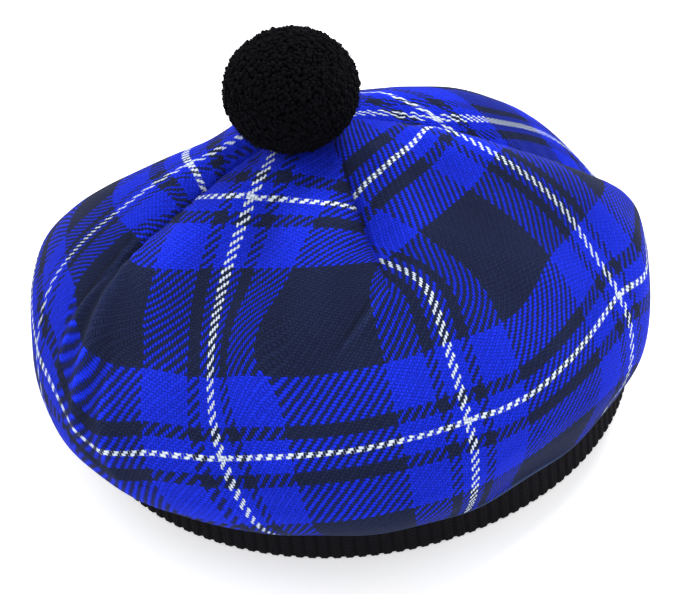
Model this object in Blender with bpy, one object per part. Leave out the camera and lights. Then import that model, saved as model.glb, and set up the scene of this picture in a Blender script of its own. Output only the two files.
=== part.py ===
"""A tam o' shanter: a quartered tartan crown over a rib-knit headband, with a cut-yarn pompom.

Metres, +Z up. The headband stands on the floor, and the front of the hat faces -Y.
"""

import math

import bmesh
import bpy
import numpy as np

# Driving dimensions, in metres
HEAD_GIRTH = 0.594  # round the inside of the headband
KNIT_THICKNESS = 0.0026
BAND_SHOWING = 0.0150  # from the floor up to the crown's hem
BAND_TUCK = 0.0090  # how far the headband goes on up inside the crown
RIB_DEPTH = 0.0006
RIB_PITCH = 0.0042

CLOTH_THICKNESS = 0.0018
RIM_OVERHANG = 0.0092  # how far the crown's rim stands out beyond the headband
CROWN_RISE = 0.0752  # from the hem's seam up to the button of the crown
HEM_OVERHANG = 0.0030  # how far the hem's roll stands out from the headband
HEM_ROLL = 0.0015  # how far the hem's roll hangs below its seam
HEM_WAVE = 0.0006
SEAM_DEPTH = 0.0080
SEAM_WIDTH = 0.0090
PUFF_HEIGHT = 0.0040  # how far a panel swells beside its seam
FOLD_HEIGHT = 0.0022
FOLD_WIDTH = 0.0050

POMPOM_WIDTH = 0.0464
POMPOM_HEIGHT = 0.0408  # before its seat is cut flat
LOCK_LENGTH = 0.0022
LOCK_TAPER = 0.0008

PIECE_GAP = 0.0003

# Where the soft crown leans, seen from above: its rim and its button from the headband's centre, and
# its pompom from the button
RIM_LEAN = (-0.0016, -0.0054)
BUTTON_LEAN = (-0.0006, 0.0226)
POMPOM_LEAN = (-0.0090, -0.0060)

# How finely the pieces are made
PANEL_COLUMNS = 22
CROWN_RINGS = 19
SEAM_CROWDING = 0.35  # how much the columns crowd towards the seams
RIB_COLUMNS = 4
HEM_WAVES = 17
POMPOM_FINENESS = 3

BAND_HEIGHT = BAND_SHOWING + BAND_TUCK
BAND_INNER = HEAD_GIRTH / (2 * math.pi)
BAND_OUTER = BAND_INNER + KNIT_THICKNESS
RIM_RADIUS = BAND_OUTER + RIM_OVERHANG
LIP_RADIUS = BAND_OUTER + PIECE_GAP
HEM_RADIUS = BAND_OUTER + HEM_OVERHANG
HEM_HEIGHT = BAND_SHOWING - HEM_ROLL
CROWN_HEIGHT = BAND_SHOWING + CROWN_RISE

# Crown section from the button down to the rim's widest line. Columns: radius as a share of the rim's,
# rise as a share of the height from the hem to the button, lean (1 over the button, 0 over the rim's
# centre), seam (how much of a seam's depth shows), outline (how much of the outline table shows).
TOP_SECTION = (
    (0.00, 1.000, 1.00, 0.00, 0.00),
    (0.12, 1.000, 0.95, 0.35, 0.00),
    (0.25, 0.970, 0.82, 0.80, 0.10),
    (0.40, 0.906, 0.62, 1.00, 0.25),
    (0.55, 0.828, 0.42, 1.00, 0.50),
    (0.70, 0.736, 0.22, 0.90, 0.80),
    (0.82, 0.645, 0.10, 0.80, 0.95),
    (0.92, 0.545, 0.03, 0.70, 1.00),
    (0.98, 0.447, 0.00, 0.50, 1.00),
    (1.00, 0.330, 0.00, 0.30, 1.00),
)
# Crown section under the rim. Columns: radius as a share of the way in from the rim to the hem, rise
# as above, lean (0 over the rim's centre, -1 over the headband's), seam, outline.
UNDER_SECTION = (
    (0.10, 0.208, -0.20, 0.15, 0.90),
    (0.45, 0.110, -0.60, 0.00, 0.60),
    (0.80, 0.039, -0.90, 0.00, 0.20),
    (1.00, 0.000, -1.00, 0.00, 0.00),
)
# Rim seen from above. Columns: angle in degrees from +X, radius and height added there as shares of
# the rim's radius, and height added to the hem as a share of the headband's showing height.
OUTLINE = (
    (-62, -0.008, 0.020, 0.12),
    (-42, 0.000, 0.020, 0.20),
    (-22, 0.012, 0.030, 0.10),
    (-6, 0.000, 0.075, 0.00),
    (8, 0.016, -0.010, 0.00),
    (20, 0.010, -0.060, 0.00),
    (42, -0.020, 0.050, 0.00),
    (70, 0.000, -0.035, 0.00),
    (105, -0.010, -0.075, 0.00),
    (129, -0.032, -0.115, 0.00),
    (154, 0.036, -0.005, 0.00),
    (180, 0.010, 0.000, -0.05),
    (205, 0.024, -0.055, -0.05),
    (225, 0.024, -0.040, 0.00),
    (248, 0.014, -0.020, 0.05),
    (272, 0.020, -0.020, 0.05),
    (286, 0.010, -0.010, 0.00),
)
# Seams between the panels. Columns: angle in degrees at the button and at the rim, reach as a share of
# the section's length, depth and puff as shares of the seam's and puff's own sizes, and the side
# (1 or -1, by angle) whose panel swells over the seam.
SEAMS = (
    (-75, -75, 0.44, 0.62, 0.45, -1),
    (21, 18, 0.84, 0.75, 1.15, -1),
    (100, 104, 0.80, 0.75, 0.50, 1),
    (176, 196, 0.66, 0.62, 0.75, 1),
)
# Soft folds and swells of the cloth. Columns: angle and share of the section's length where a fold
# starts and where it ends, and its height and width as shares of a fold's own sizes.
FOLDS = (
    (190, 0.38, 214, 0.80, 1.25, 0.80),
    (184, 0.42, 200, 0.72, 0.90, 0.60),
    (212, 0.60, 226, 0.88, 0.60, 0.90),
    (283, 0.40, 268, 0.50, 0.50, 0.60),
    (46, 0.03, 42, 0.70, 1.10, 4.00),
)
PUFF_PLACE = 1.8  # seam widths from a seam to the crest of the puff beside it
PUFF_SPREAD = 1.4  # seam widths
PUFF_START = 4.0  # seam widths from the button to where the puffs are full
SEAM_FADE = 0.15  # share of the section's length over which a seam runs out
SEAM_SHARPNESS = 1.3
SEAM_TURN = 0.75  # share of the section's length by which a seam has come to its rim angle

POMPOM_SEAT = 0.95  # share of the core's half height at which the seat cuts it flat
LOCK_UNEVENNESS = 0.30  # how much shorter the shortest lock is, as a share of the longest
LOCK_TURN = 2.4  # radians of the wave that shortens the locks, from one to the next

# Degrees between two faces from which their edge is shaded sharp
CLOTH_SHARP = 60
KNIT_SHARP = 40
YARN_SHARP = 30


def smooth(value, places, heights):
    """A smooth curve through a table's rows, read at each value."""
    places, heights = np.asarray(places, float), np.asarray(heights, float)
    slopes = np.gradient(heights, places)
    value = np.clip(value, places[0], places[-1])
    row = np.clip(np.searchsorted(places, value) - 1, 0, len(places) - 2)
    step = places[row + 1] - places[row]
    t = (value - places[row]) / step
    return (
        (2 * t**3 - 3 * t**2 + 1) * heights[row]
        + (t**3 - 2 * t**2 + t) * step * slopes[row]
        + (3 * t**2 - 2 * t**3) * heights[row + 1]
        + (t**3 - t**2) * step * slopes[row + 1]
    )


def eased(value):
    value = np.clip(value, 0, 1)
    return value * value * (3 - 2 * value)


def turned(degrees):
    """The same angle between -180 and 180."""
    return (degrees + 180) % 360 - 180


def crown_section():
    """Rows of radius, height, lean, seam and outline, from the button to the lip on the headband."""
    rise = CROWN_HEIGHT - HEM_HEIGHT
    rows = [(RIM_RADIUS * radius, HEM_HEIGHT + rise * up, *rest) for radius, up, *rest in TOP_SECTION]
    for inward, up, *rest in UNDER_SECTION:
        rows.append((RIM_RADIUS + (HEM_RADIUS - RIM_RADIUS) * inward, HEM_HEIGHT + rise * up, *rest))
    rows.append((LIP_RADIUS, BAND_SHOWING, -1.0, 0.0, 0.0))
    return np.array(rows)


SECTION = crown_section()
SECTION_STEPS = np.hypot(np.diff(SECTION[:, 0]), np.diff(SECTION[:, 1]))
SECTION_SHARES = np.concatenate([[0], np.cumsum(SECTION_STEPS)]) / SECTION_STEPS.sum()
RIM_SHARE = SECTION_SHARES[len(TOP_SECTION) - 1]
HEM_SHARE = SECTION_SHARES[-2]
SLOPE_STEP = 0.001  # share of the section's length over which its slope is read


def section_at(share, column):
    return smooth(share, SECTION_SHARES, SECTION[:, column])


def outline_at(angle, column):
    """A column of the outline table at each angle, running on round the rim."""
    table = np.array(OUTLINE)
    places = np.concatenate([table[:, 0] - 360, table[:, 0], table[:, 0] + 360])
    return smooth(turned(angle), places, np.tile(table[:, column], 3))


def seam_angle(seam, share):
    return seam[0] + (seam[1] - seam[0]) * np.clip(share / SEAM_TURN, 0, 1)


def relief(angle, share, radius, showing):
    """How far the cloth stands out of the plain section: the seams, the puffs beside them and the folds."""
    height = np.zeros_like(radius)
    for seam in SEAMS:
        _, _, reach, depth, puff, side = seam
        away = np.radians(turned(angle - seam_angle(seam, share))) * radius / SEAM_WIDTH
        shown = showing * eased((reach - share) / SEAM_FADE)
        height -= SEAM_DEPTH * depth * shown * np.exp(-(np.abs(away) ** SEAM_SHARPNESS))
        crest = np.exp(-(((away * side - PUFF_PLACE) / PUFF_SPREAD) ** 2))
        height += PUFF_HEIGHT * puff * shown * crest * np.clip(radius / (PUFF_START * SEAM_WIDTH), 0, 1)
    for start_angle, start, end_angle, end, fold_height, fold_width in FOLDS:
        along = np.clip((share - start) / (end - start), 0, 1)
        centre = start_angle + (end_angle - start_angle) * along
        away = np.radians(turned(angle - centre)) * radius / (FOLD_WIDTH * fold_width)
        height += FOLD_HEIGHT * fold_height * np.sin(math.pi * along) * np.exp(-(away**2))
    return height


def crown_point(angle, share):
    """The outer face of the cloth. Angle in degrees from +X; share of the section's length from the button."""
    radius, height, lean, showing, follow = (section_at(share, column) for column in range(5))
    under = np.clip((share - RIM_SHARE) / (1 - RIM_SHARE), 0, 1)
    radius = radius + RIM_RADIUS * outline_at(angle, 1) * follow
    height = height + RIM_RADIUS * outline_at(angle, 2) * follow
    wave = HEM_WAVE * np.sin(np.radians(angle) * HEM_WAVES)
    height = height + (BAND_SHOWING * outline_at(angle, 3) + wave) * under
    run = section_at(share + SLOPE_STEP, 0) - section_at(share - SLOPE_STEP, 0)
    fall = section_at(share - SLOPE_STEP, 1) - section_at(share + SLOPE_STEP, 1)
    length = np.hypot(run, fall)
    out = relief(angle, share, radius, showing)
    radius = radius + out * fall / length
    height = height + out * run / length
    to_button = np.clip(lean, 0, 1)
    to_band = np.clip(-lean, 0, 1)
    x = RIM_LEAN[0] * (1 - to_button - to_band) + BUTTON_LEAN[0] * to_button
    y = RIM_LEAN[1] * (1 - to_button - to_band) + BUTTON_LEAN[1] * to_button
    around = np.radians(angle)
    return np.stack([x + radius * np.cos(around), y + radius * np.sin(around), height], axis=-1)


def column_angles(share):
    """Angles of the columns on one ring: each seam keeps its own column, and the rest crowd towards it."""
    seams = [seam_angle(seam, share) for seam in SEAMS]
    angles = []
    for start, end in zip(seams, seams[1:] + [seams[0] + 360]):
        even = np.arange(PANEL_COLUMNS) / PANEL_COLUMNS
        crowded = even - SEAM_CROWDING * np.sin(2 * math.pi * even) / (2 * math.pi)
        angles.extend(start + (end - start) * crowded)
    return np.array(angles)


def material(name, colour, roughness):
    finish = bpy.data.materials.new(name)
    finish.use_nodes = True
    shader = finish.node_tree.nodes["Principled BSDF"]
    shader.inputs["Base Color"].default_value = (*colour, 1.0)
    shader.inputs["Roughness"].default_value = roughness
    shader.inputs["Metallic"].default_value = 0.0
    return finish


def piece(name, bm, finish, parent, sharp_degrees):
    """A named object made from the bmesh, shaded smooth but for its sharp edges."""
    bmesh.ops.recalc_face_normals(bm, faces=bm.faces)
    mesh = bpy.data.meshes.new(name)
    bm.to_mesh(mesh)
    bm.free()
    mesh.materials.append(finish)
    mesh.shade_smooth()
    mesh.set_sharp_from_angle(angle=math.radians(sharp_degrees))
    made = bpy.data.objects.new(name, mesh)
    made.parent = parent
    bpy.context.scene.collection.objects.link(made)
    return made


def join_rings(bm, many, few):
    """Faces between two rings of points, the first with as many points or a whole number of times more."""
    ratio = len(many) // len(few)
    for i, point in enumerate(few):
        following = few[(i + 1) % len(few)]
        fan = [many[(i * ratio + k) % len(many)] for k in range(ratio + 1)]
        if ratio == 1:
            bm.faces.new((fan[0], fan[1], following, point))
            continue
        for k in range(ratio):
            bm.faces.new((fan[k], fan[k + 1], point if k < ratio // 2 else following))
        bm.faces.new((point, fan[ratio // 2], following))


def crown(finish, parent):
    """The soft tartan shell, open at the hem. Its wall grows inwards from the outer face."""
    bm = bmesh.new()
    rings = []
    for share in (*np.linspace(0, HEM_SHARE, CROWN_RINGS)[1:], 1.0):
        angles = column_angles(share)
        points = crown_point(angles, np.full_like(angles, share))
        rings.append([bm.verts.new(point) for point in points])
    button = bm.verts.new(crown_point(np.zeros(1), np.zeros(1))[0])
    columns = len(rings[0])
    for i in range(columns):
        bm.faces.new((button, rings[0][i], rings[0][(i + 1) % columns]))
    for upper, lower in zip(rings, rings[1:]):
        join_rings(bm, upper, lower)
    made = piece("crown", bm, finish, parent, CLOTH_SHARP)
    wall = made.modifiers.new("cloth", "SOLIDIFY")
    wall.thickness = CLOTH_THICKNESS
    wall.offset = -1.0
    return made


def headband(finish, parent):
    """The rib-knit band: upright ribs on its outer face, plain inside, flat where it stands."""
    pairs_of_ribs = round(math.pi * BAND_OUTER / RIB_PITCH)
    columns = 2 * pairs_of_ribs * RIB_COLUMNS
    on_rib = (np.arange(columns) % RIB_COLUMNS) < RIB_COLUMNS // 2
    outer = np.where(on_rib, BAND_OUTER, BAND_OUTER - RIB_DEPTH)
    inner = np.full(pairs_of_ribs, BAND_INNER)
    bm = bmesh.new()

    def ring(radii, height):
        around = 2 * math.pi * np.arange(len(radii)) / len(radii)
        return [bm.verts.new((r * math.cos(a), r * math.sin(a), height)) for r, a in zip(radii, around)]

    outer_low, outer_high = ring(outer, 0.0), ring(outer, BAND_HEIGHT)
    inner_low, inner_high = ring(inner, 0.0), ring(inner, BAND_HEIGHT)
    join_rings(bm, outer_high, outer_low)
    join_rings(bm, inner_high, inner_low)
    join_rings(bm, outer_high, inner_high)
    join_rings(bm, outer_low, inner_low)
    return piece("headband", bm, finish, parent, KNIT_SHARP)


def pompom(finish, parent):
    """A ball of cut yarn: a core with a tapered lock fused on each of its faces, flattened at its seat."""
    bm = bmesh.new()
    bmesh.ops.create_icosphere(bm, subdivisions=POMPOM_FINENESS, radius=1.0)
    across = POMPOM_WIDTH / 2 - LOCK_LENGTH
    up = POMPOM_HEIGHT / 2 - LOCK_LENGTH
    for point in bm.verts:
        x, y, z = point.co
        point.co = (x * across, y * across, max(z, -POMPOM_SEAT) * up)
    for count, face in enumerate(list(bm.faces)):
        shortened = LOCK_UNEVENNESS * (1 - math.sin(LOCK_TURN * count)) / 2
        depth = LOCK_LENGTH * (1 - shortened)
        bmesh.ops.inset_individual(bm, faces=[face], thickness=LOCK_TAPER, depth=depth, use_even_offset=True)
    lowest = min(point.co.z for point in bm.verts)
    made = piece("pompom", bm, finish, parent, YARN_SHARP)
    x, y = (button + lean for button, lean in zip(BUTTON_LEAN, POMPOM_LEAN))
    made.location = (x, y, CROWN_HEIGHT + PIECE_GAP - lowest)
    return made


def build():
    for old in list(bpy.data.objects):
        bpy.data.objects.remove(old)
    hat = bpy.data.objects.new("hat", None)
    bpy.context.scene.collection.objects.link(hat)
    shell = crown(material("tartan wool", (0.020, 0.035, 0.55), 0.85), hat)
    headband(material("rib knit", (0.008, 0.008, 0.010), 0.90), hat)
    pompom(material("cut yarn", (0.004, 0.004, 0.006), 0.95), hat)
    points = np.array([point.co for point in shell.data.vertices])
    middle = (points.min(axis=0) + points.max(axis=0)) / 2
    hat.location = (-middle[0], -middle[1], 0.0)


build()
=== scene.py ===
"""A tam o' shanter: tartan wool crown, rib-knit headband and cut-yarn pompom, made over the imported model."""

import math

import bpy
import numpy as np
from mathutils import Matrix, Vector


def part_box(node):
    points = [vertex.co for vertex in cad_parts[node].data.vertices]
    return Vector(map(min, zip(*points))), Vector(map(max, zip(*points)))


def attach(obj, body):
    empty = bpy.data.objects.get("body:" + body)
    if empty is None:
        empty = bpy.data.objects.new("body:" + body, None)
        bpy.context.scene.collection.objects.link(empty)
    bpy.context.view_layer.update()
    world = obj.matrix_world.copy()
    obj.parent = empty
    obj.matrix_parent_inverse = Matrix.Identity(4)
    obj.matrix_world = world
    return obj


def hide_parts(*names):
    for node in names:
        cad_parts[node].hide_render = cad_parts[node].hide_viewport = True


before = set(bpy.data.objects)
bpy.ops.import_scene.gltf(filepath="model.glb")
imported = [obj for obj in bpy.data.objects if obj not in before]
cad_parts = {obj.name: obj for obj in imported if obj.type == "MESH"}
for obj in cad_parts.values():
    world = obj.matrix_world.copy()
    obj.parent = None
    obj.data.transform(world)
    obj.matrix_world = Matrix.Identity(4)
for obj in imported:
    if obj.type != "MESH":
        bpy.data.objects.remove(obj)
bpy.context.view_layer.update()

band_low, band_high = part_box("headband")
pompom_low, pompom_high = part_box("pompom")

BAND_OUTER = (band_high.x - band_low.x) / 2
BAND_HEIGHT = band_high.z
CENTRE = np.array([(band_low.x + band_high.x) / 2, (band_low.y + band_high.y) / 2, 0.0])

# The crown's form
BAND_SHOWING = 0.0150
CROWN_RISE = 0.0752
CLOTH_THICKNESS = 0.0018
RIM_OVERHANG = 0.0092
HEM_OVERHANG = 0.0030
HEM_ROLL = 0.0015
HEM_WAVE = 0.0006
SEAM_DEPTH = 0.0080
SEAM_WIDTH = 0.0090
PUFF_HEIGHT = 0.0040
FOLD_HEIGHT = 0.0022
FOLD_WIDTH = 0.0050
PIECE_GAP = 0.0003
RIM_LEAN = (-0.0016, -0.0054)
BUTTON_LEAN = (-0.0006, 0.0226)
HEM_WAVES = 17
RIM_RADIUS = BAND_OUTER + RIM_OVERHANG
LIP_RADIUS = BAND_OUTER + PIECE_GAP
HEM_RADIUS = BAND_OUTER + HEM_OVERHANG
HEM_HEIGHT = BAND_SHOWING - HEM_ROLL
CROWN_HEIGHT = BAND_SHOWING + CROWN_RISE

# Columns: radius as a share of the rim's, rise as a share of the height from the hem to the button,
# lean, how much of a seam's depth shows, how much of the outline shows
TOP_SECTION = (
    (0.00, 1.000, 1.00, 0.00, 0.00),
    (0.12, 1.000, 0.95, 0.35, 0.00),
    (0.25, 0.970, 0.82, 0.80, 0.10),
    (0.40, 0.906, 0.62, 1.00, 0.25),
    (0.55, 0.828, 0.42, 1.00, 0.50),
    (0.70, 0.736, 0.22, 0.90, 0.80),
    (0.82, 0.645, 0.10, 0.80, 0.95),
    (0.92, 0.545, 0.03, 0.70, 1.00),
    (0.98, 0.447, 0.00, 0.50, 1.00),
    (1.00, 0.330, 0.00, 0.30, 1.00),
)
UNDER_SECTION = (
    (0.10, 0.208, -0.20, 0.15, 0.90),
    (0.45, 0.110, -0.60, 0.00, 0.60),
    (0.80, 0.039, -0.90, 0.00, 0.20),
    (1.00, 0.000, -1.00, 0.00, 0.00),
)
# Columns: angle in degrees, radius and height as shares of the rim's radius, hem height as a share of
# the headband's showing height. The table follows a program's fit of a first one to the photo's
# silhouette, and was then typed anew and changed.
OUTLINE = (
    (-62, -0.008, 0.020, 0.12),
    (-42, 0.000, 0.020, 0.20),
    (-22, 0.012, 0.030, 0.10),
    (-6, 0.000, 0.075, 0.00),
    (8, 0.016, -0.010, 0.00),
    (20, 0.010, -0.060, 0.00),
    (42, -0.020, 0.050, 0.00),
    (70, 0.000, -0.035, 0.00),
    (105, -0.010, -0.075, 0.00),
    (129, -0.032, -0.115, 0.00),
    (154, 0.036, -0.005, 0.00),
    (180, 0.010, 0.000, -0.05),
    (205, 0.024, -0.055, -0.05),
    (225, 0.024, -0.040, 0.00),
    (248, 0.014, -0.020, 0.05),
    (272, 0.020, -0.020, 0.05),
    (286, 0.010, -0.010, 0.00),
)
# Columns: angle at the button and at the rim, reach, depth, puff, side that swells
SEAMS = (
    (-75, -75, 0.44, 0.62, 0.45, -1),
    (21, 18, 0.84, 0.75, 1.15, -1),
    (100, 104, 0.80, 0.75, 0.50, 1),
    (176, 196, 0.66, 0.62, 0.75, 1),
)
# Columns: angle and share at the start, angle and share at the end, height, width
FOLDS = (
    (190, 0.38, 214, 0.80, 1.25, 0.80),
    (184, 0.42, 200, 0.72, 0.90, 0.60),
    (212, 0.60, 226, 0.88, 0.60, 0.90),
    (283, 0.40, 268, 0.50, 0.50, 0.60),
    (46, 0.03, 42, 0.70, 1.10, 4.00),
)
PUFF_PLACE = 1.8
PUFF_SPREAD = 1.4
PUFF_START = 4.0
SEAM_FADE = 0.15
SEAM_SHARPNESS = 1.3
SEAM_TURN = 0.75
SLOPE_STEP = 0.001

STITCH_WIDTH = 0.0012
STITCH_DEPTH = 0.0007
PUCKER_WIDTH = 0.0040
PUCKER_HEIGHT = 0.00032
PUCKER_PITCH = 0.0062
PUCKER_DRIFT = 1.7  # radians by which the puckers wander along a seam
PUCKER_DRIFT_RATE = 0.31  # wanders for each pucker
SOFTNESS = 0.0007  # height of the cloth's slow swells
QUIET_RADIUS = 0.35  # share of the rim's radius over which the swells grow from the button
QUIET_EDGE = 0.06  # share of the section over which they die away at its end
# Columns: cycles round the crown, cycles along the section, phase in radians, share of the softness
SWELLS = (
    (3, 1.2, 0.4, 0.5),
    (5, -1.9, 2.1, 0.4),
    (8, 2.6, 4.0, 0.35),
    (13, -3.3, 1.2, 0.25),
    (19, 4.1, 5.2, 0.15),
)


def smooth(value, places, heights):
    """A smooth curve through a table's rows, read at each value."""
    places, heights = np.asarray(places, float), np.asarray(heights, float)
    slopes = np.gradient(heights, places)
    value = np.clip(value, places[0], places[-1])
    row = np.clip(np.searchsorted(places, value) - 1, 0, len(places) - 2)
    step = places[row + 1] - places[row]
    t = (value - places[row]) / step
    return (
        (2 * t**3 - 3 * t**2 + 1) * heights[row]
        + (t**3 - 2 * t**2 + t) * step * slopes[row]
        + (3 * t**2 - 2 * t**3) * heights[row + 1]
        + (t**3 - t**2) * step * slopes[row + 1]
    )


def eased(value):
    value = np.clip(value, 0, 1)
    return value * value * (3 - 2 * value)


def turned(degrees):
    """The same angle between -180 and 180."""
    return (degrees + 180) % 360 - 180


def crown_section():
    """Rows of radius, height, lean, seam and outline, from the button to the lip on the headband."""
    rise = CROWN_HEIGHT - HEM_HEIGHT
    rows = [(RIM_RADIUS * radius, HEM_HEIGHT + rise * up, *rest) for radius, up, *rest in TOP_SECTION]
    for inward, up, *rest in UNDER_SECTION:
        rows.append((RIM_RADIUS + (HEM_RADIUS - RIM_RADIUS) * inward, HEM_HEIGHT + rise * up, *rest))
    rows.append((LIP_RADIUS, BAND_SHOWING, -1.0, 0.0, 0.0))
    return np.array(rows)


SECTION = crown_section()
SECTION_STEPS = np.hypot(np.diff(SECTION[:, 0]), np.diff(SECTION[:, 1]))
SECTION_LENGTH = SECTION_STEPS.sum()
SECTION_SHARES = np.concatenate([[0], np.cumsum(SECTION_STEPS)]) / SECTION_LENGTH
RIM_SHARE = SECTION_SHARES[len(TOP_SECTION) - 1]
HEM_SHARE = SECTION_SHARES[-2]


def section_at(share, column):
    return smooth(share, SECTION_SHARES, SECTION[:, column])


def outline_at(angle, column):
    table = np.array(OUTLINE)
    places = np.concatenate([table[:, 0] - 360, table[:, 0], table[:, 0] + 360])
    return smooth(turned(angle), places, np.tile(table[:, column], 3))


def seam_angle(seam, share):
    return seam[0] + (seam[1] - seam[0]) * np.clip(share / SEAM_TURN, 0, 1)


def relief(angle, share, radius, showing):
    """How far the cloth stands out of the plain section: seams, puffs, folds, stitching and soft swells."""
    height = np.zeros_like(radius)
    for number, seam in enumerate(SEAMS):
        _, _, reach, depth, puff, side = seam
        across = np.radians(turned(angle - seam_angle(seam, share))) * radius
        away = across / SEAM_WIDTH
        shown = showing * eased((reach - share) / SEAM_FADE)
        height -= SEAM_DEPTH * depth * shown * np.exp(-(np.abs(away) ** SEAM_SHARPNESS))
        crest = np.exp(-(((away * side - PUFF_PLACE) / PUFF_SPREAD) ** 2))
        height += PUFF_HEIGHT * puff * shown * crest * np.clip(radius / (PUFF_START * SEAM_WIDTH), 0, 1)
        height -= STITCH_DEPTH * shown * np.exp(-((across / STITCH_WIDTH) ** 2))
        along = share * SECTION_LENGTH / PUCKER_PITCH * 2 * math.pi
        pucker = np.sin(along + PUCKER_DRIFT * np.sin(along * PUCKER_DRIFT_RATE + number))
        beside = np.abs(across) / PUCKER_WIDTH
        height += PUCKER_HEIGHT * shown * pucker * beside * np.exp(1 - beside)
    for start_angle, start, end_angle, end, fold_height, fold_width in FOLDS:
        along = np.clip((share - start) / (end - start), 0, 1)
        centre = start_angle + (end_angle - start_angle) * along
        away = np.radians(turned(angle - centre)) * radius / (FOLD_WIDTH * fold_width)
        height += FOLD_HEIGHT * fold_height * np.sin(math.pi * along) * np.exp(-(away**2))
    around = np.radians(angle)
    quiet = eased(radius / (QUIET_RADIUS * RIM_RADIUS)) * eased((1 - share) / QUIET_EDGE)
    for turns, runs, phase, size in SWELLS:
        height += SOFTNESS * size * quiet * np.sin(turns * around + runs * 2 * math.pi * share + phase)
    return height


def crown_point(angle, share):
    """The cloth's outer face at an angle in degrees from +X and a share of the section from the button."""
    radius, height, lean, showing, follow = (section_at(share, column) for column in range(5))
    under = np.clip((share - RIM_SHARE) / (1 - RIM_SHARE), 0, 1)
    radius = radius + RIM_RADIUS * outline_at(angle, 1) * follow
    height = height + RIM_RADIUS * outline_at(angle, 2) * follow
    wave = HEM_WAVE * np.sin(np.radians(angle) * HEM_WAVES)
    height = height + (BAND_SHOWING * outline_at(angle, 3) + wave) * under
    run = section_at(share + SLOPE_STEP, 0) - section_at(share - SLOPE_STEP, 0)
    fall = section_at(share - SLOPE_STEP, 1) - section_at(share + SLOPE_STEP, 1)
    length = np.hypot(run, fall)
    out = relief(angle, share, radius, showing)
    radius = radius + out * fall / length
    height = height + out * run / length
    to_button = np.clip(lean, 0, 1)
    to_band = np.clip(-lean, 0, 1)
    x = RIM_LEAN[0] * (1 - to_button - to_band) + BUTTON_LEAN[0] * to_button
    y = RIM_LEAN[1] * (1 - to_button - to_band) + BUTTON_LEAN[1] * to_button
    around = np.radians(angle)
    return np.stack([x + radius * np.cos(around), y + radius * np.sin(around), height], axis=-1)


# How the tartan lies on the crown. Places count repeats: x from one white upright to the next, y from
# one white crossbar to the next.
REPEAT = 0.0805
# Many rows of the next three tables are places of the photo's lines that a measuring program found,
# typed in as read or moved. Those on the side that the photo hides are guesses.
# Columns: angle, share, x or y there
UPRIGHTS = (
    (  # right panel, from the front seam to the right one
        (0, 0.00, 1.42),
        (284, 0.37, 1.00),
        (288, 0.40, 1.00),
        (292, 0.45, 1.00),
        (293, 0.51, 1.00),
        (292, 0.58, 1.00),
        (291, 0.68, 1.00),
        (304, 0.34, 1.28),
        (308, 0.54, 1.28),
        (334, 0.34, 1.72),
        (330, 0.53, 1.72),
        (358, 0.28, 2.00),
        (355, 0.36, 2.00),
        (353, 0.42, 2.00),
        (350, 0.49, 2.00),
        (346, 0.54, 2.00),
        (342, 0.60, 2.00),
        (338, 0.67, 2.00),
        (334, 0.73, 2.00),
    ),
    (  # back panel
        (29, 0.00, 3.00),
        (28, 0.21, 3.00),
        (29, 0.32, 3.00),
        (32, 0.45, 3.00),
        (32, 0.56, 3.00),
        (32, 0.68, 3.00),
        (20, 0.30, 2.90),
        (27, 0.45, 2.90),
        (37, 0.45, 3.10),
        (37, 0.58, 3.11),
        (45, 0.25, 3.15),
        (60, 0.15, 3.16),
        (60, 0.35, 3.37),
        (90, 0.30, 3.52),
        (90, 0.55, 4.00),
    ),
    (  # left panel
        (170, 0.00, 7.20),
        (160, 0.20, 7.00),
        (166, 0.31, 7.00),
        (169, 0.40, 7.00),
        (172, 0.53, 7.00),
        (176, 0.61, 7.00),
        (179.3, 0.673, 7.00),
        (161, 0.52, 6.74),
        (170, 0.61, 6.74),
        (180, 0.47, 7.27),
        (183, 0.55, 7.27),
        (186, 0.62, 7.28),
        (191, 0.64, 7.28),
        (110, 0.50, 5.80),
    ),
    (  # front panel
        (240, 0.00, 8.20),
        (214, 0.14, 8.00),
        (222, 0.19, 8.00),
        (224.3, 0.26, 8.00),
        (225, 0.31, 8.00),
        (228, 0.35, 8.00),
        (231.2, 0.405, 8.00),
        (233.8, 0.46, 8.00),
        (235.5, 0.505, 8.00),
        (238.2, 0.555, 8.00),
        (240, 0.61, 8.00),
        (243, 0.67, 8.00),
        (246.6, 0.735, 8.00),
        (207, 0.43, 7.72),
        (211, 0.48, 7.72),
        (219, 0.57, 7.72),
        (254, 0.36, 8.28),
        (252, 0.46, 8.28),
        (251, 0.54, 8.28),
        (274, 0.48, 8.72),
        (272, 0.52, 8.72),
        (292, 0.50, 9.00),
    ),
)
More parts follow.
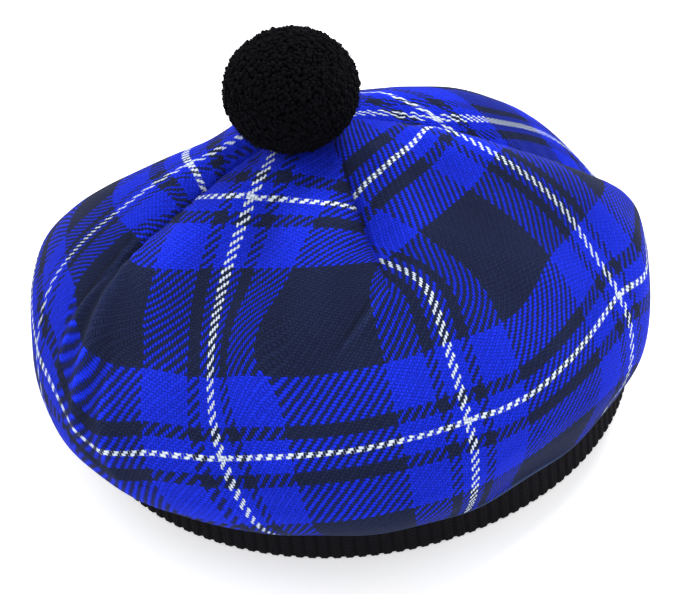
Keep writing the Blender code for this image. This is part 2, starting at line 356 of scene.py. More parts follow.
CROSSBARS = (
    (  # right panel
        (0, 0.00, -0.30),
        (287, 0.19, 0.00),
        (301, 0.18, 0.00),
        (326, 0.19, 0.00),
        (344, 0.20, 0.00),
        (356, 0.23, 0.00),
        (304, 0.34, 0.28),
        (334, 0.34, 0.28),
        (308, 0.54, 0.72),
        (330, 0.53, 0.72),
        (295, 0.71, 1.00),
        (319, 0.69, 1.00),
        (336, 0.70, 1.00),
    ),
    (  # back panel
        (29, 0.00, -0.45),
        (26, 0.33, 0.00),
        (29, 0.31, 0.00),
        (39, 0.23, 0.00),
        (65, 0.22, 0.00),
        (95, 0.28, 0.00),
    ),
    (  # left panel
        (170, 0.00, -0.60),
        (153, 0.36, 0.00),
        (167.3, 0.305, 0.00),
        (173.4, 0.295, 0.00),
        (177.5, 0.30, 0.00),
        (160, 0.352, 0.06),
        (168, 0.335, 0.06),
        (175, 0.326, 0.06),
        (160, 0.292, -0.06),
        (168, 0.276, -0.06),
        (175, 0.266, -0.06),
        (160, 0.53, 0.28),
        (180, 0.47, 0.28),
        (176, 0.65, 0.74),
        (188, 0.64, 0.74),
    ),
    (  # front panel
        (240, 0.00, -0.36),
        (182, 0.32, 0.00),
        (190, 0.29, 0.00),
        (203, 0.265, 0.00),
        (209.5, 0.255, 0.00),
        (224, 0.235, 0.00),
        (218, 0.272, 0.06),
        (231, 0.247, 0.06),
        (248, 0.238, 0.06),
        (262, 0.239, 0.06),
        (276, 0.243, 0.06),
        (233, 0.265, 0.105),
        (250, 0.260, 0.105),
        (263, 0.267, 0.105),
        (275, 0.268, 0.105),
        (221, 0.204, -0.06),
        (249, 0.178, -0.06),
        (235.5, 0.225, 0.00),
        (244, 0.218, 0.00),
        (256, 0.2125, 0.00),
        (269, 0.209, 0.00),
        (281, 0.21, 0.00),
        (196, 0.48, 0.28),
        (207, 0.42, 0.28),
        (219, 0.38, 0.28),
        (253, 0.36, 0.28),
        (281, 0.35, 0.28),
        (208, 0.66, 0.72),
        (216, 0.61, 0.72),
        (222, 0.59, 0.72),
        (251, 0.54, 0.72),
        (259, 0.53, 0.72),
        (271, 0.51, 0.72),
    ),
)
# Round the rim. Columns: angle and x at the rim's share, slant of the upright there in degrees for a
# whole share, share at which the crossbar y = 1 lies
RIM_PLACES = (
    (-70.0, 1.00, -12, 0.694),
    (-63.0, 1.17, -20, 0.714),
    (-56.0, 1.33, -28, 0.717),
    (-49.0, 1.49, -32, 0.706),
    (-41.0, 1.68, -38, 0.697),
    (-27.5, 2.00, -50, 0.698),
    (-13.0, 2.28, -50, 0.765),
    (28.0, 3.00, -45, 0.740),
    (60.0, 3.95, 0, 0.720),
    (105.0, 4.98, 0, 0.720),
    (150.0, 6.04, 80, 0.730),
    (172.0, 6.58, 75, 0.745),
    (180.0, 6.78, 110, 0.752),
    (189.0, 7.00, 122, 0.755),
    (203.0, 7.25, 115, 0.740),
    (216.0, 7.48, 68, 0.770),
    (233.0, 7.76, 49, 0.722),
    (247.4, 8.00, 50, 0.705),
    (255.0, 8.18, 28, 0.693),
    (268.0, 8.49, 10, 0.680),
)
RIM_TURN = 8  # repeats round the rim
RIM_TIES = (0.70, 0.85)  # shares at which each panel is tied to the rim's places
TIE_STEPS = 7
EASE_RADIUS = 0.050  # how far the cloth eases round each place
EASE_LOOSENESS = 0.0008
RIM_LEVEL = 0.75
BLEND_RUN = 0.16  # share over which a panel's lie runs into the rim's


def rim_column(angle, column):
    table = np.array(RIM_PLACES)
    turn = RIM_TURN if column == 1 else 0
    places = np.concatenate([table[:, 0] - 360, table[:, 0], table[:, 0] + 360])
    values = np.concatenate([table[:, column] - turn, table[:, column], table[:, column] + turn])
    return smooth(angle, places, values)


def rim_place(angle, share):
    """The tartan's x and y where the four panels' cloth runs on unbroken below the seams."""
    level = angle - rim_column(angle, 2) * (share - RIM_LEVEL)
    x = rim_column(level, 1)
    y = 1 + (share - rim_column(level, 3)) * SECTION_LENGTH / REPEAT
    return x, y


def flat_point(angle, share):
    """The cloth opened flat round the button, in units of the ease radius."""
    around = np.radians(angle)
    return np.stack([share * np.cos(around), share * np.sin(around)], axis=-1) * SECTION_LENGTH / EASE_RADIUS


def eased_map(rows):
    """A smooth map through rows of angle, share and value: a plain one, eased round each row."""
    rows = np.array(rows)
    places = flat_point(rows[:, 0], rows[:, 1])
    plain = np.column_stack([np.ones(len(rows)), places])
    reach = np.linalg.norm(places[:, None] - places[None], axis=-1)
    pull = np.exp(-(reach**2) / 2) + EASE_LOOSENESS * np.eye(len(rows))
    system = np.block([[pull, plain], [plain.T, np.zeros((3, 3))]])
    found = np.linalg.solve(system, np.concatenate([rows[:, 2], np.zeros(3)]))

    def at(angle, share):
        spots = flat_point(angle, share)
        value = found[-3] + spots @ found[-2:]
        for place, weight in zip(places, found):
            value = value + weight * np.exp(-((spots - place) ** 2).sum(axis=-1) / 2)
        return value

    return at


def panel_maps():
    maps = []
    for number, (uprights, crossbars) in enumerate(zip(UPRIGHTS, CROSSBARS)):
        start, end = SEAMS[number][1], SEAMS[(number + 1) % 4][1]
        end += 360 if end < start else 0
        ties = [(a, s) for a in np.linspace(start, end, TIE_STEPS) for s in RIM_TIES]
        along = [(a, s, float(rim_place(a, s)[0])) for a, s in ties]
        across = [(a, s, float(rim_place(a, s)[1])) for a, s in ties]
        maps.append((eased_map([*uprights, *along]), eased_map([*crossbars, *across])))
    return maps


PANEL_MAPS = panel_maps()


def tartan_place(panel, angle, share):
    """The tartan's x and y on one panel: its own lie near the button, the rim's below its seams."""
    here, following = SEAMS[panel], SEAMS[(panel + 1) % 4]
    start, end = seam_angle(here, share), seam_angle(following, share)
    end = np.where(end < start, end + 360, end)
    way = np.clip((angle - start) / (end - start), 0, 1)
    reach = here[2] + (following[2] - here[2]) * way
    blend = eased((share - reach + BLEND_RUN) / BLEND_RUN)
    x, y = (at(angle, share) for at in PANEL_MAPS[panel])
    rim_x, rim_y = rim_place(angle, share)
    return x + (rim_x - x) * blend, y + (rim_y - y) * blend


# Making the pieces
# The next values set the painted shade in the hollows of the crown's seams and folds and the painted
# highlights on their ridges.
CREASE_REACH = 0.011  # how far to each side a fold is measured against the cloth
CREASE_HEIGHT = 0.0024
RIDGE_WIDTH = 0.0009  # half width of the painted highlight along a fold
RIDGE_SHADE = 0.8
RIDGE_STRENGTH = 0.5
SHADE_LINE_PLACE = 3.2  # ridge widths from the painted highlight to the painted shade line beside it
SHADE_LINE_WIDTH = 1.8  # ridge widths
SMALLEST_RADIUS = 0.001
HEM_TINT_START = 0.012  # share of the section before the hem at which its edge tint starts
HEM_TINT_RUN = 0.004
ANGLE_MARGIN = 30  # degrees by which a corner may lie before its panel's seam
COLUMN_STEP = 0.66  # degrees
CROWN_RINGS = 140
LIP_RINGS = 5
SEAM_CROWDING = 0.55
INNER_SKIP = 2


def new_object(name, points, faces, smooth_shaded=True):
    mesh = bpy.data.meshes.new(name)
    mesh.from_pydata([tuple(p) for p in points], [], faces)
    mesh.update()
    if smooth_shaded:
        mesh.shade_smooth()
    made = bpy.data.objects.new(name, mesh)
    bpy.context.scene.collection.objects.link(made)
    return made


def set_uv(mesh, name, values):
    layer = mesh.uv_layers.new(name=name)
    layer.data.foreach_set("uv", np.asarray(values, np.float32).ravel())


def panel_columns():
    """Panel number and way across it of each column of the crown."""
    panels, ways = [], []
    for number in range(4):
        start, end = SEAMS[number][1], SEAMS[(number + 1) % 4][1]
        end += 360 if end < start else 0
        count = 2 * round((end - start) / COLUMN_STEP / 2)
        even = np.arange(count) / count
        ways.extend(even - SEAM_CROWDING * np.sin(2 * math.pi * even) / (2 * math.pi))
        panels.extend([number] * count)
    return np.array(panels), np.array(ways)


def column_angle(panel, way, share):
    starts = np.array([seam_angle(seam, share) for seam in SEAMS])
    ends = np.roll(starts, -1, axis=0)
    ends = np.where(ends < starts, ends + 360, ends)
    return starts[panel] + (ends[panel] - starts[panel]) * way


def fold_light_and_shade(angles, shares):
    """Painted light and shade for each point: how far it stands above (1) or lies below (-1) the cloth to both
    sides of it.
    """
    radius, showing = section_at(shares, 0), section_at(shares, 3)
    height = relief(angles, shares, radius, showing)
    found = np.empty_like(height)
    columns = height.shape[1]
    for ring, row in enumerate(height):
        step = 2 * math.pi * max(radius[ring, 0], SMALLEST_RADIUS) / columns
        reach = int(np.clip(round(CREASE_REACH / step), 1, columns // 6))
        run = np.concatenate([row[-reach:], row, row[:reach]])
        found[ring] = row - np.convolve(run, np.ones(2 * reach + 1) / (2 * reach + 1), "valid")
    found /= CREASE_HEIGHT
    for start_angle, start, end_angle, end, _, fold_width in FOLDS:
        along = np.clip((shares - start) / (end - start), 0, 1)
        centre = start_angle + (end_angle - start_angle) * along
        away = np.radians(turned(angles - centre)) * radius / RIDGE_WIDTH
        shown = np.sqrt(np.sin(math.pi * along)) * min(1, RIDGE_STRENGTH / fold_width**2)
        # A painted highlight along each fold's ridge and a painted shade line on one side of it
        shade_line = np.exp(-(((away + SHADE_LINE_PLACE) / SHADE_LINE_WIDTH) ** 2))
        found += shown * (np.exp(-(away**2)) - RIDGE_SHADE * shade_line)
    return np.clip(found, -1, 1)


def grid_faces(rings, columns, offset=0, flip=False):
    """Quads between rings of points, closed round."""
    i = np.arange(columns)
    j = np.arange(rings - 1)[:, None]
    a = offset + j * columns + i
    b = offset + j * columns + (i + 1) % columns
    quads = np.stack([a, b, b + columns, a + columns], axis=-1).reshape(-1, 4)
    return quads[:, ::-1] if flip else quads


def make_crown():
    panel, way = panel_columns()
    columns = len(panel)
    shares = np.concatenate(
        [np.linspace(0, HEM_SHARE, CROWN_RINGS + 1)[1:], np.linspace(HEM_SHARE, 1, LIP_RINGS + 1)[1:]]
    )
    rings = len(shares)
    angles = np.array(
        [[column_angle(panel[c], way[c], s) for c in range(columns)] for s in (0.0, SEAM_TURN)]
    )
    turn = np.clip(shares / SEAM_TURN, 0, 1)[:, None]
    angles = angles[0] + (angles[1] - angles[0]) * turn
    spread = np.broadcast_to(shares[:, None], angles.shape)
    outer = crown_point(angles, spread)
    button = crown_point(np.zeros(1), np.zeros(1))[0]

    round_step = np.roll(outer, -1, axis=1) - np.roll(outer, 1, axis=1)
    down_step = np.gradient(outer, axis=0)
    normal = np.cross(down_step, round_step)
    normal /= np.linalg.norm(normal, axis=-1, keepdims=True)
    rows = np.arange(0, rings, INNER_SKIP)
    rows = rows if rows[-1] == rings - 1 else np.append(rows, rings - 1)
    cols = np.arange(0, columns, INNER_SKIP)
    inner = (outer - CLOTH_THICKNESS * normal)[np.ix_(rows, cols)]

    points = [button + CENTRE, button + CENTRE - np.array([0, 0, CLOTH_THICKNESS])]
    points.extend((outer + CENTRE).reshape(-1, 3))
    inner_at = len(points)
    points.extend((inner + CENTRE).reshape(-1, 3))
    faces = [(0, 2 + (i + 1) % columns, 2 + i) for i in range(columns)]
    faces.extend(tuple(q) for q in grid_faces(rings, columns, 2, True).tolist())
    few = len(cols)
    faces.extend((1, inner_at + i, inner_at + (i + 1) % few) for i in range(few))
    faces.extend(tuple(q) for q in grid_faces(len(rows), few, inner_at).tolist())
    last_outer = 2 + (rings - 1) * columns
    last_inner = inner_at + (len(rows) - 1) * few
    for i in range(few):
        a, b, c = (last_outer + (2 * i + k) % columns for k in range(3))
        d, e = last_inner + i, last_inner + (i + 1) % few
        faces.append((a, d, b))
        faces.append((b, d, e))
        faces.append((b, e, c))
    made = new_object("crown_cloth", points, faces)

    # Each corner's place on the tartan comes from the panel that its face lies on
    all_angles = np.concatenate([[np.nan, np.nan], angles.ravel(), angles[np.ix_(rows, cols)].ravel()])
    all_shares = np.concatenate([[0, 0], spread.ravel(), spread[np.ix_(rows, cols)].ravel()])
    mesh = made.data
    corner = np.empty(len(mesh.loops), np.int64)
    mesh.loops.foreach_get("vertex_index", corner)
    totals = np.empty(len(mesh.polygons), np.int64)
    mesh.polygons.foreach_get("loop_total", totals)
    face_of = np.repeat(np.arange(len(totals)), totals)
    # A face's panel is that of its first column, which is the lower one except where the crown closes round
    corner_angle = all_angles[corner]
    outer_column = np.full(len(points), -1)
    outer_column[2:inner_at] = np.tile(np.arange(columns), rings)
    outer_column[inner_at:] = np.tile(cols, len(rows))
    column = outer_column[corner]
    lowest = np.full(len(totals), columns)
    highest = np.full(len(totals), -1)
    known = column >= 0
    np.minimum.at(lowest, face_of[known], column[known])
    np.maximum.at(highest, face_of[known], column[known])
    wraps = highest - lowest > columns // 2
    first = np.where(wraps, highest, lowest)
    use = panel[first][face_of]
    # Angles run on: a corner on the next seam takes that seam's angle as the end of this panel
    start_angle = np.array([seam_angle(seam, 0.0) for seam in SEAMS])[use]
    fixed = np.where(np.isnan(corner_angle), start_angle, corner_angle)
    before = start_angle - ANGLE_MARGIN
    fixed = before + (fixed - before) % 360
    share = all_shares[corner]
    uv = np.zeros((len(corner), 2))
    for number in range(4):
        mine = use == number
        x, y = tartan_place(number, fixed[mine], share[mine])
        uv[mine] = np.stack([x, y], axis=-1)
    set_uv(mesh, "tartan", uv)
    hem = mesh.attributes.new("hem", "FLOAT", "POINT")
    tint = eased((all_shares - (HEM_SHARE - HEM_TINT_START)) / HEM_TINT_RUN)
    hem.data.foreach_set("value", tint.astype(np.float32))
    # Painted shade in the hollows of seams and folds and painted highlights on their ridges, kept on the outer
    # face's points
    painted_fold_light = mesh.attributes.new("painted_fold_light", "FLOAT", "POINT")
    fold_shading = fold_light_and_shade(angles, spread)
    fold_shading = np.concatenate([[0, 0], fold_shading.ravel(), 0 * fold_shading[np.ix_(rows, cols)].ravel()])
    painted_fold_light.data.foreach_set("value", fold_shading.astype(np.float32))
    return made


# Materials
class Nodes:
    """Short names for building a material's nodes."""

    def __init__(self, name):
        self.material = bpy.data.materials.new(name)
        self.material.use_nodes = True
        self.tree = self.material.node_tree
        self.shader = self.tree.nodes["Principled BSDF"]

    def node(self, kind, **settings):
        made = self.tree.nodes.new(kind)
        for key, value in settings.items():
            setattr(made, key, value)
        return made

    def put(self, socket, value):
        if isinstance(value, bpy.types.NodeSocket):
            self.tree.links.new(value, socket)
        else:
            socket.default_value = value

    def math(self, operation, *values, clamp=False):
        made = self.node("ShaderNodeMath", operation=operation, use_clamp=clamp)
        for socket, value in zip(made.inputs, values):
            self.put(socket, value)
        return made.outputs[0]

    def mix(self, factor, first, second):
        made = self.node("ShaderNodeMix", data_type="RGBA")
        self.put(made.inputs[0], factor)
        self.put(made.inputs[6], first)
        self.put(made.inputs[7], second)
        return made.outputs[2]

    def uv(self, name):
        made = self.node("ShaderNodeUVMap", uv_map=name)
        parts = self.node("ShaderNodeSeparateXYZ")
        self.tree.links.new(made.outputs[0], parts.inputs[0])
        return parts.outputs[0], parts.outputs[1]

    def noise(self, scale, detail=2.0, vector=None, rough=0.5):
        made = self.node("ShaderNodeTexNoise")
        made.inputs["Scale"].default_value = scale
        made.inputs["Detail"].default_value = detail
        made.inputs["Roughness"].default_value = rough
        if vector is None:
            vector = self.node("ShaderNodeTexCoord").outputs["Object"]
        self.tree.links.new(vector, made.inputs["Vector"])
        return made.outputs["Fac"]

    def bump(self, height, distance, strength=1.0, normal=None):
        made = self.node("ShaderNodeBump")
        made.inputs["Distance"].default_value = distance
        made.inputs["Strength"].default_value = strength
        self.put(made.inputs["Height"], height)
        if normal is not None:
            self.put(made.inputs["Normal"], normal)
        return made.outputs[0]


BLUE = (0.0085, 0.0265, 0.66, 1)
NAVY = (0.0115, 0.0175, 0.054, 1)
WHITE = (0.66, 0.75, 0.92, 1)
SLATE = (0.035, 0.055, 0.13, 1)
THREADS_ACROSS = 100
THREADS_ALONG = 104
WHITE_CROSSBAR = 0.012  # the white crossbar is narrower than the upright
WAVER = 1.1  # threads
WARP_SHOWS = 0.12  # share of a warp bead's height above which it is seen
# Half of the tartan's sett, from the middle of the white stripe. Columns: where it ends as a share of
# the repeat, colour
SETT = ((0.02, WHITE), (0.06, BLUE), (0.105, NAVY), (0.28, BLUE), (0.50, NAVY))


def tartan_material():
    n = Nodes("tartan_wool")
    u, v = n.uv("tartan")
    # The woollen threads waver by part of a thread
    waver_across = n.math("MULTIPLY", n.math("SUBTRACT", n.noise(900.0, 2.0), 0.5), WAVER)
    waver_along = n.math("MULTIPLY", n.math("SUBTRACT", n.noise(1100.0, 2.0), 0.5), WAVER)
    across = n.math("ADD", n.math("MULTIPLY", n.math("ADD", u, 20.0), THREADS_ACROSS), waver_across)
    along = n.math("ADD", n.math("MULTIPLY", n.math("ADD", v, 20.0), THREADS_ALONG), waver_along)
    across_thread = n.math("FLOOR", across)
    along_thread = n.math("FLOOR", along)

    def stripe(thread, count, white):
        place = n.math("FRACT", n.math("DIVIDE", n.math("ADD", thread, 0.5), count))
        away = n.math("PINGPONG", place, 0.5)
        ramp = n.node("ShaderNodeValToRGB")
        ramp.color_ramp.interpolation = "CONSTANT"
        stops = ramp.color_ramp.elements
        stops[0].position, stops[0].color = 0.0, SETT[0][1]
        stops[1].position, stops[1].color = white * 2, SETT[1][1]
        for (end, _), (_, colour) in zip(SETT[1:], SETT[2:]):
            stop = stops.new(end * 2)
            stop.color = colour
        n.put(ramp.inputs[0], n.math("MULTIPLY", away, 2.0))
        return ramp.outputs[0]

    warp = stripe(across_thread, THREADS_ACROSS, SETT[0][0])
    weft = stripe(along_thread, THREADS_ALONG, WHITE_CROSSBAR)
    # Each float is a small rounded bead, two threads long
    warp_way = n.math("MODULO", n.math("ADD", across_thread, along), 4.0)
    warp_long = n.math("SINE", n.math("MULTIPLY", warp_way, math.pi / 2))
    warp_wide = n.math("SINE", n.math("MULTIPLY", n.math("FRACT", across), math.pi))
    weft_way = n.math("MODULO", n.math("ADD", across, along_thread), 4.0)
    weft_long = n.math("MULTIPLY", n.math("SINE", n.math("MULTIPLY", weft_way, math.pi / 2)), -1.0)
    weft_wide = n.math("SINE", n.math("MULTIPLY", n.math("FRACT", along), math.pi))
    warp_high = n.math("MULTIPLY", n.math("POWER", n.math("MAXIMUM", warp_long, 0.0), 0.9), warp_wide)
    weft_wide = n.math("POWER", weft_wide, 0.45)
    weft_high = n.math("MULTIPLY", n.math("POWER", n.math("MAXIMUM", weft_long, 0.0), 0.5), weft_wide)
    # The weft covers all but the middle of each raised warp bead
    over = n.math("GREATER_THAN", warp_high, WARP_SHOWS)
    colour = n.mix(over, weft, warp)
    lift = n.node("ShaderNodeMix", data_type="FLOAT")
    n.put(lift.inputs[0], over)
    n.put(lift.inputs[2], weft_high)
    n.put(lift.inputs[3], warp_high)
    lift = lift.outputs[0]

    fuzz = n.noise(1700.0, 3.0)
    cloud = n.noise(60.0, 2.0)
    painted_fold_light = n.node("ShaderNodeAttribute", attribute_name="painted_fold_light").outputs["Fac"]
    # Painted shade where each thread bead dips at its ends and sides, lighter where it stands highest
    shade = n.math("ADD", n.math("MULTIPLY", lift, 0.64), 0.42)
    shade = n.math("MULTIPLY", shade, n.math("ADD", n.math("MULTIPLY", fuzz, 1.1), 0.45))
    # Painted shade in the hollows of seams and folds, painted highlights on their ridges
    shade = n.math("MULTIPLY", shade, n.math("ADD", n.math("MULTIPLY", painted_fold_light, 0.62), 1.0))
    shade = n.math("MULTIPLY", shade, n.math("ADD", n.math("MULTIPLY", cloud, 0.16), 0.92))
    dim = n.node("ShaderNodeVectorMath", operation="SCALE")
    n.put(dim.inputs[0], colour)
    n.put(dim.inputs[3], shade)
    hem = n.node("ShaderNodeAttribute", attribute_name="hem").outputs["Fac"]
    n.put(n.shader.inputs["Base Color"], n.mix(hem, dim.outputs[0], SLATE))
    height = n.math("ADD", lift, n.math("MULTIPLY", fuzz, 0.5))
    n.put(n.shader.inputs["Normal"], n.bump(height, 0.00022, 0.7))
    n.shader.inputs["Roughness"].default_value = 0.9
    n.shader.inputs["Specular IOR Level"].default_value = 0.06
    n.shader.inputs["Sheen Weight"].default_value = 0.03
    n.shader.inputs["Sheen Roughness"].default_value = 0.45
    n.shader.inputs["Sheen Tint"].default_value = (0.55, 0.62, 1.0, 1)
    return n.material


RIB_PITCH = 0.0042
KNIT_THICKNESS = 0.0026
RIB_DEPTH = 0.0005
WALE_DEPTH = 0.0002
RIB_COLUMNS = 12
FOLD_RINGS = 8
BAND_RINGS = 18
COURSE_PITCH = 0.0016
TOP_POINTS = 5
RIB_SHARE = 0.74  # share of the pitch that a rib takes; the rest is the gap beside it
RIB_ROUNDNESS = 0.6
KNIT_DARK = (0.0022, 0.0018, 0.0028, 1)
KNIT_LIGHT = (0.0085, 0.0075, 0.0100, 1)


def make_headband():
    ribs = 2 * round(math.pi * BAND_OUTER / RIB_PITCH)
    columns = ribs * RIB_COLUMNS
    inner_radius = BAND_OUTER - KNIT_THICKNESS
    middle = (BAND_OUTER - RIB_DEPTH + inner_radius) / 2
    half = (BAND_OUTER - RIB_DEPTH - inner_radius) / 2
    # The section: up the outer face from the fold at the floor, over the top and down the inner face
    low = []
    for k in range(FOLD_RINGS + 1):
        turn = math.pi * k / FOLD_RINGS
        low.append((middle - half * math.cos(turn), half - half * math.sin(turn)))
    up_out = [(middle + half, z) for z in np.linspace(half, BAND_HEIGHT - half, BAND_RINGS)[1:]]
    turns = np.linspace(0, math.pi, TOP_POINTS)[1:]
    top = [(middle + half * math.cos(t), BAND_HEIGHT - half + half * math.sin(t)) for t in turns]
    up_in = [(middle - half, z) for z in np.linspace(BAND_HEIGHT - half, half, BAND_RINGS // 2)[1:-1]]
    section = np.array(low + up_out + top + up_in)
    following = np.roll(section, -1, axis=0) - np.roll(section, 1, axis=0)
    out = np.stack([following[:, 1], -following[:, 0]], axis=-1)
    out /= np.linalg.norm(out, axis=-1, keepdims=True)
    way = np.arange(columns) / RIB_COLUMNS
    along = way % 1.0
    # Two wales stand up on each rib, with a furrow between them and a deep gap beside them
    rib = np.clip(np.sin(math.pi * np.clip(along / RIB_SHARE, 0, 1)), 0, 1) ** RIB_ROUNDNESS
    wale = np.abs(np.sin(2 * math.pi * np.clip(along / RIB_SHARE, 0, 1)))
    stand = RIB_DEPTH * rib * 0.75 + WALE_DEPTH * wale * (along < RIB_SHARE)
    around = 2 * math.pi * np.arange(columns) / columns
    rings = []
    lengths = np.concatenate([[0], np.cumsum(np.linalg.norm(np.diff(section, axis=0), axis=1))])
    for (radius, z), (out_r, out_z) in zip(section, out):
        r = radius + stand * out_r
        h = z + stand * out_z
        rings.append(np.stack([r * np.cos(around), r * np.sin(around), h], axis=-1))
    rings = np.array(rings)
    rings[..., 2] -= rings[..., 2].min()
    outward = rings[..., :2] / np.linalg.norm(rings[..., :2], axis=-1, keepdims=True)
    over = np.linalg.norm(rings[..., :2], axis=-1, keepdims=True) - BAND_OUTER
    rings[..., :2] -= outward * np.maximum(over, 0)
    count = len(section)
    points = (rings + CENTRE).reshape(-1, 3)
    quads = grid_faces(count, columns, 0)
    closing = np.stack(
        [
            (count - 1) * columns + np.arange(columns),
            (count - 1) * columns + (np.arange(columns) + 1) % columns,
            (np.arange(columns) + 1) % columns,
            np.arange(columns),
        ],
        axis=-1,
    )
    faces = np.concatenate([quads, closing])
    made = new_object("headband_knit", points, faces.tolist())
    mesh = made.data
    corner = np.empty(len(mesh.loops), np.int64)
    mesh.loops.foreach_get("vertex_index", corner)
    column, ring = corner % columns, corner // columns
    face = np.arange(len(corner)) // 4
    wraps = (column.reshape(-1, 4).max(axis=1) - column.reshape(-1, 4).min(axis=1) > columns // 2)[face]
    column = np.where(wraps & (column < columns // 2), column + columns, column)
    closes = face >= len(quads)
    down = np.where(closes & (ring == 0), lengths[-1] + half, lengths[ring])
    set_uv(mesh, "knit", np.stack([column / RIB_COLUMNS, down / COURSE_PITCH], axis=-1))
    mesh.validate()
    return made


def knit_material():
    n = Nodes("rib_knit")
    u, v = n.uv("knit")
    along = n.math("FRACT", n.math("ADD", u, 10.0))
    on_rib = n.math("LESS_THAN", along, RIB_SHARE)
    half_wale = n.math("FRACT", n.math("DIVIDE", along, RIB_SHARE / 2))
    # Each wale is a column of slanting stitches
    slant = n.math("MULTIPLY", n.math("PINGPONG", half_wale, 0.5), 1.3)
    course = n.math("FRACT", n.math("ADD", n.math("ADD", v, slant), 100.0))
    stitch = n.math("SINE", n.math("MULTIPLY", course, math.pi))
    fuzz = n.noise(2400.0, 3.0)
    height = n.math("ADD", n.math("MULTIPLY", stitch, on_rib), n.math("MULTIPLY", fuzz, 0.5))
    # Painted shade in the gaps between ribs and between stitches, lighter on each stitch's crest
    shade = n.math("ADD", n.math("MULTIPLY", n.math("MULTIPLY", stitch, on_rib), 0.5), 0.5)
    shade = n.math("MULTIPLY", shade, n.math("ADD", n.math("MULTIPLY", fuzz, 0.5), 0.75))
    n.put(n.shader.inputs["Base Color"], n.mix(shade, KNIT_DARK, KNIT_LIGHT))
    n.put(n.shader.inputs["Normal"], n.bump(height, 0.0003, 0.8))
    n.shader.inputs["Roughness"].default_value = 0.9
    n.shader.inputs["Specular IOR Level"].default_value = 0.05
    n.shader.inputs["Sheen Weight"].default_value = 0.01
    n.shader.inputs["Sheen Roughness"].default_value = 0.5
    return n.material


TUFTS = 3400
TUFT_SIDES = 6
FIBRES = 5200
CORE_COLUMNS = 48
CORE_RINGS = 25
CORE_REACH = 0.90
SEED = 7
LUMPS = 14
LUMP_SPREAD = 0.05
LUMP_HEIGHT = 0.018  # share of the ball's radius
TUFT_SCATTER = 0.012
REACH_SCATTER = 0.012
TUFT_OVERLAP = 1.18
# A tuft from its foot up. Columns: place along it and width, both in tuft radii
TUFT_SECTION = ((-4.5, 0.45), (-1.4, 0.85), (-0.25, 0.95))
FIBRE_WIDTH = 0.00007
YARN_DARK = (0.0006, 0.0006, 0.0010, 1)
YARN_LIGHT = (0.0050, 0.0052, 0.0075, 1)


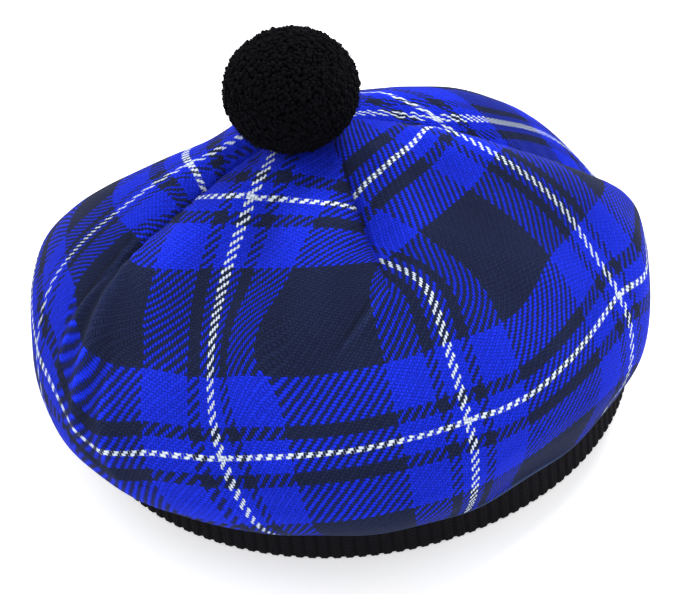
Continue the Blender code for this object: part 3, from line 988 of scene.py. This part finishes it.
def make_pompom():
    """Cut yarn ends packed round a core, flattened where the ball sits on the crown."""
    rng = np.random.default_rng(SEED)
    low, high = np.array(pompom_low), np.array(pompom_high)
    width = (high[:2] - low[:2]).max()
    half = np.array([(high[0] - low[0]) / 2, (high[1] - low[1]) / 2, (high[2] - low[2]) / 1.95])
    middle = np.array([(low[0] + high[0]) / 2, (low[1] + high[1]) / 2, high[2] - half[2]])
    k = np.arange(TUFTS) + 0.5
    polar = np.arccos(1 - 2 * k / TUFTS)
    around = math.pi * (1 + 5**0.5) * k
    way = np.stack([np.sin(polar) * np.cos(around), np.sin(polar) * np.sin(around), np.cos(polar)], axis=-1)
    way += rng.normal(0, TUFT_SCATTER, way.shape)
    way /= np.linalg.norm(way, axis=-1, keepdims=True)
    lumps = np.zeros(TUFTS)
    for _ in range(LUMPS):
        spot = rng.normal(size=3)
        spot /= np.linalg.norm(spot)
        lumps += rng.uniform(-1, 1) * np.exp(((way @ spot) - 1) / LUMP_SPREAD)
    reach = 1.0 + LUMP_HEIGHT * lumps + rng.normal(0, REACH_SCATTER, TUFTS)
    radius = width / 2 * math.sqrt(4 * math.pi / TUFTS) / 2 * TUFT_OVERLAP
    points, faces = [], []
    side = np.cross(way, rng.normal(size=way.shape))
    side /= np.linalg.norm(side, axis=-1, keepdims=True)
    other = np.cross(way, side)
    angle = 2 * math.pi * np.arange(TUFT_SIDES) / TUFT_SIDES
    for t in range(TUFTS):
        lean = rng.normal(0, 0.10, 2)
        axis = way[t] + side[t] * lean[0] + other[t] * lean[1]
        axis /= np.linalg.norm(axis)
        base = len(points)
        size = radius * rng.uniform(0.85, 1.2)
        for at, wide in TUFT_SECTION:
            drop = rng.normal(0, 0.10 if at > -1 else 0.0, TUFT_SIDES)
            ring = (
                way[t] * half * reach[t]
                + np.outer((at + drop) * radius, axis)
                + wide * size * (np.outer(np.cos(angle), side[t]) + np.outer(np.sin(angle), other[t]))
            )
            points.extend(ring)
        points.append(way[t] * half * reach[t] + axis * radius * rng.uniform(0.05, 0.5))
        for ring in range(2):
            for s in range(TUFT_SIDES):
                a = base + ring * TUFT_SIDES + s
                b = base + ring * TUFT_SIDES + (s + 1) % TUFT_SIDES
                faces.append((a, b, b + TUFT_SIDES, a + TUFT_SIDES))
        last = base + 2 * TUFT_SIDES
        for s in range(TUFT_SIDES):
            faces.append((last + s, last + (s + 1) % TUFT_SIDES, last + TUFT_SIDES))
    # A dark core closes the view between the tufts
    turn = 2 * math.pi * np.arange(CORE_COLUMNS) / CORE_COLUMNS
    fall = np.linspace(0.02, math.pi - 0.02, CORE_RINGS)[:, None]
    core = [np.sin(fall) * np.cos(turn), np.sin(fall) * np.sin(turn), np.cos(fall) + 0 * turn]
    core = np.stack(core, axis=-1).reshape(-1, 3) * half * CORE_REACH
    faces.extend(tuple(q) for q in grid_faces(CORE_RINGS, CORE_COLUMNS, len(points), True).tolist())
    points.extend(core)
    points = np.array(points) + middle
    points[:, 2] = np.maximum(points[:, 2], low[2])
    tufts = new_object("pompom_yarn", points, faces)
    points, faces = [], []
    for _ in range(FIBRES):
        out = rng.normal(size=3)
        out /= np.linalg.norm(out)
        lean = rng.normal(size=3) * 0.9
        tip = out + lean * 0.4
        tip /= np.linalg.norm(tip)
        foot = middle + out * half * rng.uniform(0.97, 1.005)
        long = radius * rng.uniform(0.8, 2.2)
        wide = np.cross(tip, rng.normal(size=3))
        wide *= FIBRE_WIDTH / np.linalg.norm(wide)
        base = len(points)
        bend = foot + tip * long * 0.55 + rng.normal(size=3) * 0.00015
        end = foot + tip * long + rng.normal(size=3) * 0.00035
        points.extend([foot - wide, foot + wide, bend + wide, bend - wide, end])
        faces.extend([(base, base + 1, base + 2, base + 3), (base + 3, base + 2, base + 4)])
    points = np.array(points)
    points[:, 2] = np.maximum(points[:, 2], low[2])
    fibres = new_object("pompom_fibres", points, faces)
    return tufts, fibres


def yarn_material():
    n = Nodes("cut_yarn")
    fuzz = n.noise(3200.0, 3.0)
    cloud = n.noise(380.0, 2.0)
    shade = n.math("ADD", n.math("MULTIPLY", fuzz, 0.7), n.math("MULTIPLY", cloud, 0.5), clamp=True)
    n.put(n.shader.inputs["Base Color"], n.mix(shade, YARN_DARK, YARN_LIGHT))
    n.put(n.shader.inputs["Normal"], n.bump(fuzz, 0.0004, 0.8))
    n.shader.inputs["Roughness"].default_value = 0.9
    n.shader.inputs["Specular IOR Level"].default_value = 0.04
    n.shader.inputs["Sheen Weight"].default_value = 0.01
    n.shader.inputs["Sheen Roughness"].default_value = 0.5
    return n.material


crown = make_crown()
crown.data.materials.append(tartan_material())
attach(crown, "root")
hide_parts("crown")

headband = make_headband()
headband.data.materials.append(knit_material())
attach(headband, "root")
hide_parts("headband")

yarn = yarn_material()
tufts, fibres = make_pompom()
for piece in (tufts, fibres):
    piece.data.materials.append(yarn)
    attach(piece, "root")
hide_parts("pompom")


# Floor, light and camera
FLOOR_GLOW = 0.5
SKY = 0.86


def floor():
    made = new_object("floor", [(-6, -6, 0), (6, -6, 0), (6, 6, 0), (-6, 6, 0)], [(0, 1, 2, 3)], False)
    n = Nodes("pale_floor")
    n.shader.inputs["Base Color"].default_value = (0.93, 0.93, 0.93, 1)
    n.shader.inputs["Roughness"].default_value = 0.9
    n.shader.inputs["Specular IOR Level"].default_value = 0.1
    n.shader.inputs["Emission Color"].default_value = (1, 1, 1, 1)
    n.shader.inputs["Emission Strength"].default_value = FLOOR_GLOW
    made.data.materials.append(n.material)


def area_light(name, place, size, power, aim):
    light = bpy.data.lights.new(name, "AREA")
    light.shape = "DISK"
    light.size = size
    light.energy = power
    made = bpy.data.objects.new(name, light)
    made.location = place
    made.rotation_euler = (Vector(aim) - Vector(place)).to_track_quat("-Z", "Y").to_euler()
    bpy.context.scene.collection.objects.link(made)


floor()
middle = Vector((CENTRE[0], CENTRE[1], 0.045))
area_light("key", (0.75, 0.65, 1.6), 0.7, 28.0, middle)
area_light("fill", (-1.1, 0.7, 1.0), 1.4, 6.0, middle)

world = bpy.data.worlds.new("studio")
bpy.context.scene.world = world
world.use_nodes = True
world.node_tree.nodes["Background"].inputs[0].default_value = (1, 1, 1, 1)
world.node_tree.nodes["Background"].inputs[1].default_value = SKY
bpy.context.scene.view_settings.view_transform = "Standard"

# The elevation, aim and distance are a program's fit to where the photo shows the crown
ELEVATION = math.radians(38.46)
ROLL = math.radians(-7)
AIM_OFFSET = Vector((0.00154, 0.0006, 0.03146))
CAMERA_DISTANCE = 0.8791
SENSOR_WIDTH = 36.0  # millimetres
LENS = 129.6  # millimetres
camera_data = bpy.data.cameras.new("camera")
camera_data.sensor_width = SENSOR_WIDTH
camera_data.lens = LENS
camera = bpy.data.objects.new("camera", camera_data)
bpy.context.scene.collection.objects.link(camera)
aim = Vector(CENTRE) + AIM_OFFSET
back = Vector((0, -math.cos(ELEVATION), math.sin(ELEVATION)))
camera.location = aim + back * CAMERA_DISTANCE
look = (-back).to_track_quat("-Z", "Y").to_matrix()
camera.rotation_euler = (look @ Matrix.Rotation(ROLL, 3, "Z")).to_euler()
bpy.context.scene.camera = camera
